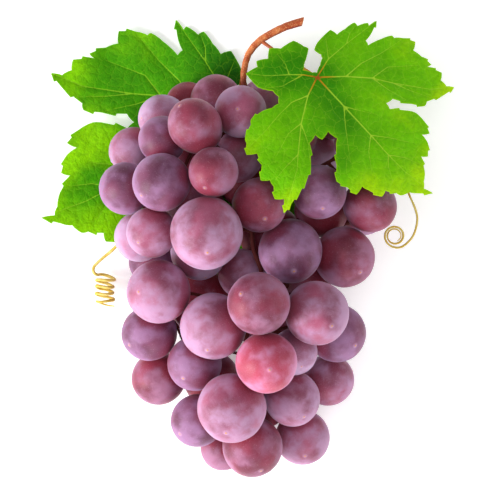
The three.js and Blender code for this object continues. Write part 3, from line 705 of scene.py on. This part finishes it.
def leaf_finish(name, shadow, middle_green, bright, vein):
    """Leaf skin, darkest near the stalk and brightest at the tips and along the edge."""
    finish, tree, shader = new_finish(name, Specular_IOR_Level=0.08, Subsurface_Weight=0.1,
                                      Subsurface_Radius=(0.5, 1.0, 0.1), Subsurface_Scale=1.0 * MM)
    place = node(tree, "ShaderNodeTexCoord").outputs["Object"]
    vein_gap = node(tree, "ShaderNodeAttribute", attribute_name="vein_gap").outputs["Fac"]
    edge_gap = node(tree, "ShaderNodeAttribute", attribute_name="edge_gap").outputs["Fac"]
    reach = node(tree, "ShaderNodeAttribute", attribute_name="reach").outputs["Fac"]

    # Random patches of tone, plus painted light and shade: the blade is painted darker towards the stalk
    # as painted shade and brighter towards the tips as painted light.
    patches = pattern(tree, place, 26 * MM, 3, 0.5)
    tone_and_painted_light = maths(tree, "ADD", patches, maths(tree, "MULTIPLY", reach, 0.7))
    green = mix(tree, fade(tree, tone_and_painted_light, 0.5, 0.88), colour(*shadow), colour(*middle_green))
    green = mix(tree, fade(tree, tone_and_painted_light, 0.84, 1.22), green, colour(*bright))
    mottle = pattern(tree, place, 1.6 * MM, 4, 0.65)
    green = mix(tree, fade(tree, mottle, 0.35, 0.7, 0, 0.3), green, colour(*shadow))
    green = mix(tree, fade(tree, edge_gap, 0.4, 0.05, 0, 0.4), green, colour(*bright))

    bent = node(tree, "ShaderNodeVectorMath", {
        0: place, 1: node(tree, "ShaderNodeVectorMath", {
            0: node(tree, "ShaderNodeTexNoise", {"Vector": place, "Scale": 1 / (3 * MM)}).outputs["Color"],
            1: (3 * MM, 3 * MM, 3 * MM),
        }, operation="MULTIPLY").outputs[0],
    }, operation="ADD").outputs[0]
    net = node(tree, "ShaderNodeTexVoronoi", {"Vector": bent, "Scale": 1 / (4.2 * MM)},
               feature="DISTANCE_TO_EDGE", voronoi_dimensions="2D").outputs["Distance"]
    fine_net = node(tree, "ShaderNodeTexVoronoi", {"Vector": bent, "Scale": 1 / (1.3 * MM)},
                    feature="DISTANCE_TO_EDGE", voronoi_dimensions="2D").outputs["Distance"]
    green = mix(tree, fade(tree, net, 0.05, 0.01, 0, 0.2), green, colour(*vein))
    green = mix(tree, fade(tree, fine_net, 0.1, 0.02, 0, 0.06), green, colour(*vein))
    vein_size = node(tree, "ShaderNodeAttribute", attribute_name="vein_size").outputs["Fac"]
    rib = maths(tree, "MULTIPLY", fade(tree, vein_gap, 1.3, 0.4),
                fade(tree, vein_size, 0.08, 0.3, 0.4, 0.95))
    rib_colour = mix(tree, fade(tree, reach, 0.05, 0.14), colour(206, 140, 30), colour(*vein))
    rib_colour = mix(tree, fade(tree, reach, 0.035, 0.015), rib_colour, colour(176, 84, 36))
    green = mix(tree, rib, green, rib_colour)

    relief = maths(tree, "ADD", fade(tree, net, 0.0, 0.25),
                   maths(tree, "MULTIPLY", fade(tree, fine_net, 0, 0.3), 0.5))
    relief = maths(tree, "ADD", relief, maths(tree, "MULTIPLY", mottle, 0.4))
    surface(tree, shader, green, fade(tree, mottle, 0.3, 0.7, 0.42, 0.56), relief, 0.08 * MM)
    return finish


def young_wood_finish(name, foot, first, second):
    """Smooth green-wood finish of a leaf stalk or tendril, redder towards its foot."""
    finish, tree, shader = new_finish(name, Specular_IOR_Level=0.35, Subsurface_Weight=0.1,
                                      Subsurface_Radius=(1.0, 0.6, 0.2), Subsurface_Scale=0.5 * MM)
    place = node(tree, "ShaderNodeTexCoord").outputs["Object"]
    patches = pattern(tree, place, 3.5 * MM, 3)
    wood = mix(tree, fade(tree, patches, 0.35, 0.65), colour(*first), colour(*second))
    from_foot = node(tree, "ShaderNodeVectorMath", {0: place, 1: tuple(foot)}, operation="DISTANCE")
    wood = mix(tree, fade(tree, from_foot.outputs["Value"], 13 * MM, 4 * MM), wood, colour(184, 94, 52))
    grain = pattern(tree, place, 0.4 * MM, 3, 0.6)
    wood = mix(tree, fade(tree, grain, 0.5, 0.75, 0, 0.35), wood, colour(150, 98, 24))
    surface(tree, shader, wood, fade(tree, patches, 0.3, 0.7, 0.42, 0.58), grain, 0.1 * MM)
    return finish


# Painted light and shade: the right leaf's upper side is painted lighter, because it slopes away from the
# window light, and the left leaf's upper side is painted darker.
upper_sides = {
    "leaf_right": leaf_finish(
        "right_leaf_top_painted_lighter", (54, 136, 0), (112, 196, 0), (190, 238, 12), (172, 220, 56)),
    "leaf_left": leaf_finish(
        "left_leaf_top_painted_darker", (22, 92, 0), (72, 156, 0), (146, 220, 4), (136, 196, 40)),
}
leaf_under = leaf_finish(
    "leaf_underside", (88, 138, 52), (112, 164, 66), (142, 188, 84), (186, 206, 120))


def stalk_radius(share):
    """A stalk is thickest at both ends."""
    return STALK_RADIUS * (1.1 - 0.25 * math.sin(math.pi * min(1, 1.3 * share)))


def grow_leaf(leaf, node_name, cell):
    """The blade with its stalk, as one piece that stands for its CAD node."""
    blade = shape_blade(leaf, cell)
    route = rooted(ring_middles(node_name, leaf["foot"], STALK_RING))
    stalk = round_shoot(f"{leaf['name']}_stalk", route + leaf["stalk_end"], stalk_radius)
    stalk.data.materials.append(young_wood_finish(
        f"{leaf['name']}_stalk_skin", route[0], (224, 164, 50), (202, 132, 40)))
    blade.data.materials.clear()
    for finish in (upper_sides[node_name], leaf_under):
        blade.data.materials.append(finish)
    choose(blade)
    bpy.ops.object.shade_smooth_by_angle(angle=math.radians(60))
    stalk.select_set(True)
    bpy.ops.object.join()
    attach(blade, "root")
    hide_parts(node_name)


# The right leaf is highest near the middle of the bunch and slopes away to the side and back.
crown = Vector((1.1, 11.15, 72.16)) * MM
RIGHT_LIFT = 0.1 * MM
DRAPE_WIDTH = 34 * MM
DRAPE_SIDE_SLOPE = 0.52
DRAPE_BACK_SLOPE = 0.42


def soft_slope(distance, slope):
    return slope * (np.hypot(distance, DRAPE_WIDTH) - DRAPE_WIDTH)


def right_leaf_height(x, y):
    sideways = soft_slope(np.maximum(0, x - crown.x), DRAPE_SIDE_SLOPE)
    return crown.z - sideways - soft_slope(y - crown.y, DRAPE_BACK_SLOPE)


right_joint = Vector((29.4, 70.3)) * MM
right_leaf = {
    "name": "vine_leaf_right", "joint": right_joint[:], "heading": -44.7, "length": 68.5 * MM,
    "side": 1, "height": right_leaf_height, "lift": RIGHT_LIFT, "wave": 1.0 * MM,
    "foot": stem_side("leaf_right"),
    "stalk_end": [Vector((*right_joint, right_leaf_height(*right_joint) + RIGHT_LIFT))],
}
grow_leaf(right_leaf, "leaf_right", cell=0.6 * MM)


# ---------------------------------------------------------------- the left leaf
#
# The larger leaf, which grows from the peduncle lower down and lies on the table under the
# bunch's left shoulder. It is the same kind of blade, and its free edge curls up a little.

LEFT_CURL = 2.8
LEFT_FLAT_EDGE = -28.9 * MM


def left_leaf_height(x, y):
    """Flat up to LEFT_FLAT_EDGE, and rising from there by LEFT_CURL times the way squared, in metres."""
    return LEFT_CURL * np.maximum(0, LEFT_FLAT_EDGE - x) ** 2


left_joint = Vector((-7.0, 55.9)) * MM
left_places = [corner.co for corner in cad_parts["leaf_left"].data.vertices]
left_leaf = {
    "name": "vine_leaf_left", "joint": left_joint[:], "heading": -151.7, "length": 92 * MM,
    "side": -1, "height": left_leaf_height, "lift": 0.75 * MM, "wave": 0.5 * MM,
    "foot": max(left_places, key=lambda place: place.z),
    "stalk_end": [],
}
grow_leaf(left_leaf, "leaf_left", cell=0.75 * MM)


# ---------------------------------------------------------------- the tendrils
#
# Two thin golden tendrils, which grew from the stem and hardened as they dried. The left one
# hooks around and ends in a corkscrew, and the right one ends in a flat curl beside the bunch.

TENDRIL_RADIUS = {"right": 0.48 * MM, "left": 0.68 * MM}
TENDRIL_TIP_RADIUS = 0.22 * MM
TENDRIL_RING = 0.95 * MM
TAPERED_SHARE = 0.12
WOBBLE = {"right": 0.1 * MM, "left": 1.4 * MM}
WOBBLE_SPACING = 8 * MM
WOBBLE_SEED = 7


def tendril_radius(share, full):
    """Knobbly all the way, and thinner towards the tip."""
    knobble = 1 + 0.2 * noise.noise(Vector((share * 40, 0, 0)))
    taper = min(1, (1 - share) / TAPERED_SHARE)
    return (TENDRIL_TIP_RADIUS + (full - TENDRIL_TIP_RADIUS) * taper) * knobble


noise.seed_set(WOBBLE_SEED)       # without a seed, noise_vector draws from the clock
for side in ("right", "left"):
    foot = stem_side(f"tendril_{side}")
    route = rooted(ring_middles(f"tendril_{side}", foot, TENDRIL_RING))
    route = [place + noise.noise_vector(place / WOBBLE_SPACING) * WOBBLE[side] for place in route]
    tendril = round_shoot(
        f"vine_tendril_{side}", route, lambda share: tendril_radius(share, TENDRIL_RADIUS[side]))
    tendril.data.materials.append(
        young_wood_finish(f"tendril_{side}_skin", foot, (224, 202, 112), (206, 172, 66)))
    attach(tendril, "root")
    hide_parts(f"tendril_{side}")


# ---------------------------------------------------------------- the table, light and camera
#
# The bunch lies on a plain pale table, which glows a little so that it stays white. Soft light
# comes from the left, the front, the right and above, and the camera looks straight down on it.

TABLE_WIDTH = 6
TABLE_DROP = 0.1 * MM

bpy.ops.mesh.primitive_plane_add(size=TABLE_WIDTH, location=(0, 0, -TABLE_DROP))
table = bpy.context.object
table.name = "table"
table_finish, _, table_shader = new_finish("table_white", Roughness=0.9, Specular_IOR_Level=0.1)
table_shader.inputs["Base Color"].default_value = (0.95, 0.95, 0.95, 1)
table_shader.inputs["Emission Color"].default_value = (1, 1, 1, 1)
table_shader.inputs["Emission Strength"].default_value = 0.3
table.data.materials.append(table_finish)


def soft_light(name, location, target, size, power):
    lamp = bpy.data.lights.new(name, "AREA")
    lamp.shape = "DISK"
    lamp.size = size
    lamp.energy = power
    holder = bpy.data.objects.new(name, lamp)
    bpy.context.scene.collection.objects.link(holder)
    holder.location = location
    holder.rotation_euler = (Vector(target) - Vector(location)).to_track_quat("-Z", "Y").to_euler()


bunch_middle = (0, 0, 0.03)
soft_light("window", (-1.0, -0.42, 0.5), bunch_middle, 0.7, 20)
soft_light("front_card", (0.15, -1.0, 0.4), bunch_middle, 0.7, 6)
soft_light("right_card", (1.0, 0.0, 0.45), bunch_middle, 0.6, 2)
soft_light("overhead", (0.1, 0.2, 1.9), bunch_middle, 1.2, 8)

world = bpy.data.worlds.new("studio")
bpy.context.scene.world = world
world.use_nodes = True
world.node_tree.nodes["Background"].inputs["Color"].default_value = (1, 1, 1, 1)
world.node_tree.nodes["Background"].inputs["Strength"].default_value = 0.38

VIEW_MIDDLE = (1.5 * MM, -1.6 * MM)
BERRY_HEIGHT = 40 * MM
VIEW_WIDTH = 210 * MM
LENS_LENGTH = 250
SENSOR_WIDTH = 36
lens = bpy.data.cameras.new("camera")
lens.lens = LENS_LENGTH
lens.sensor_width = SENSOR_WIDTH
lens.clip_end = 20
camera = bpy.data.objects.new("camera", lens)
bpy.context.scene.collection.objects.link(camera)
camera.location = (*VIEW_MIDDLE, BERRY_HEIGHT + VIEW_WIDTH * LENS_LENGTH / SENSOR_WIDTH)
camera.rotation_euler = (0, 0, 0)
bpy.context.scene.camera = camera
bpy.context.scene.view_settings.view_transform = "Standard"
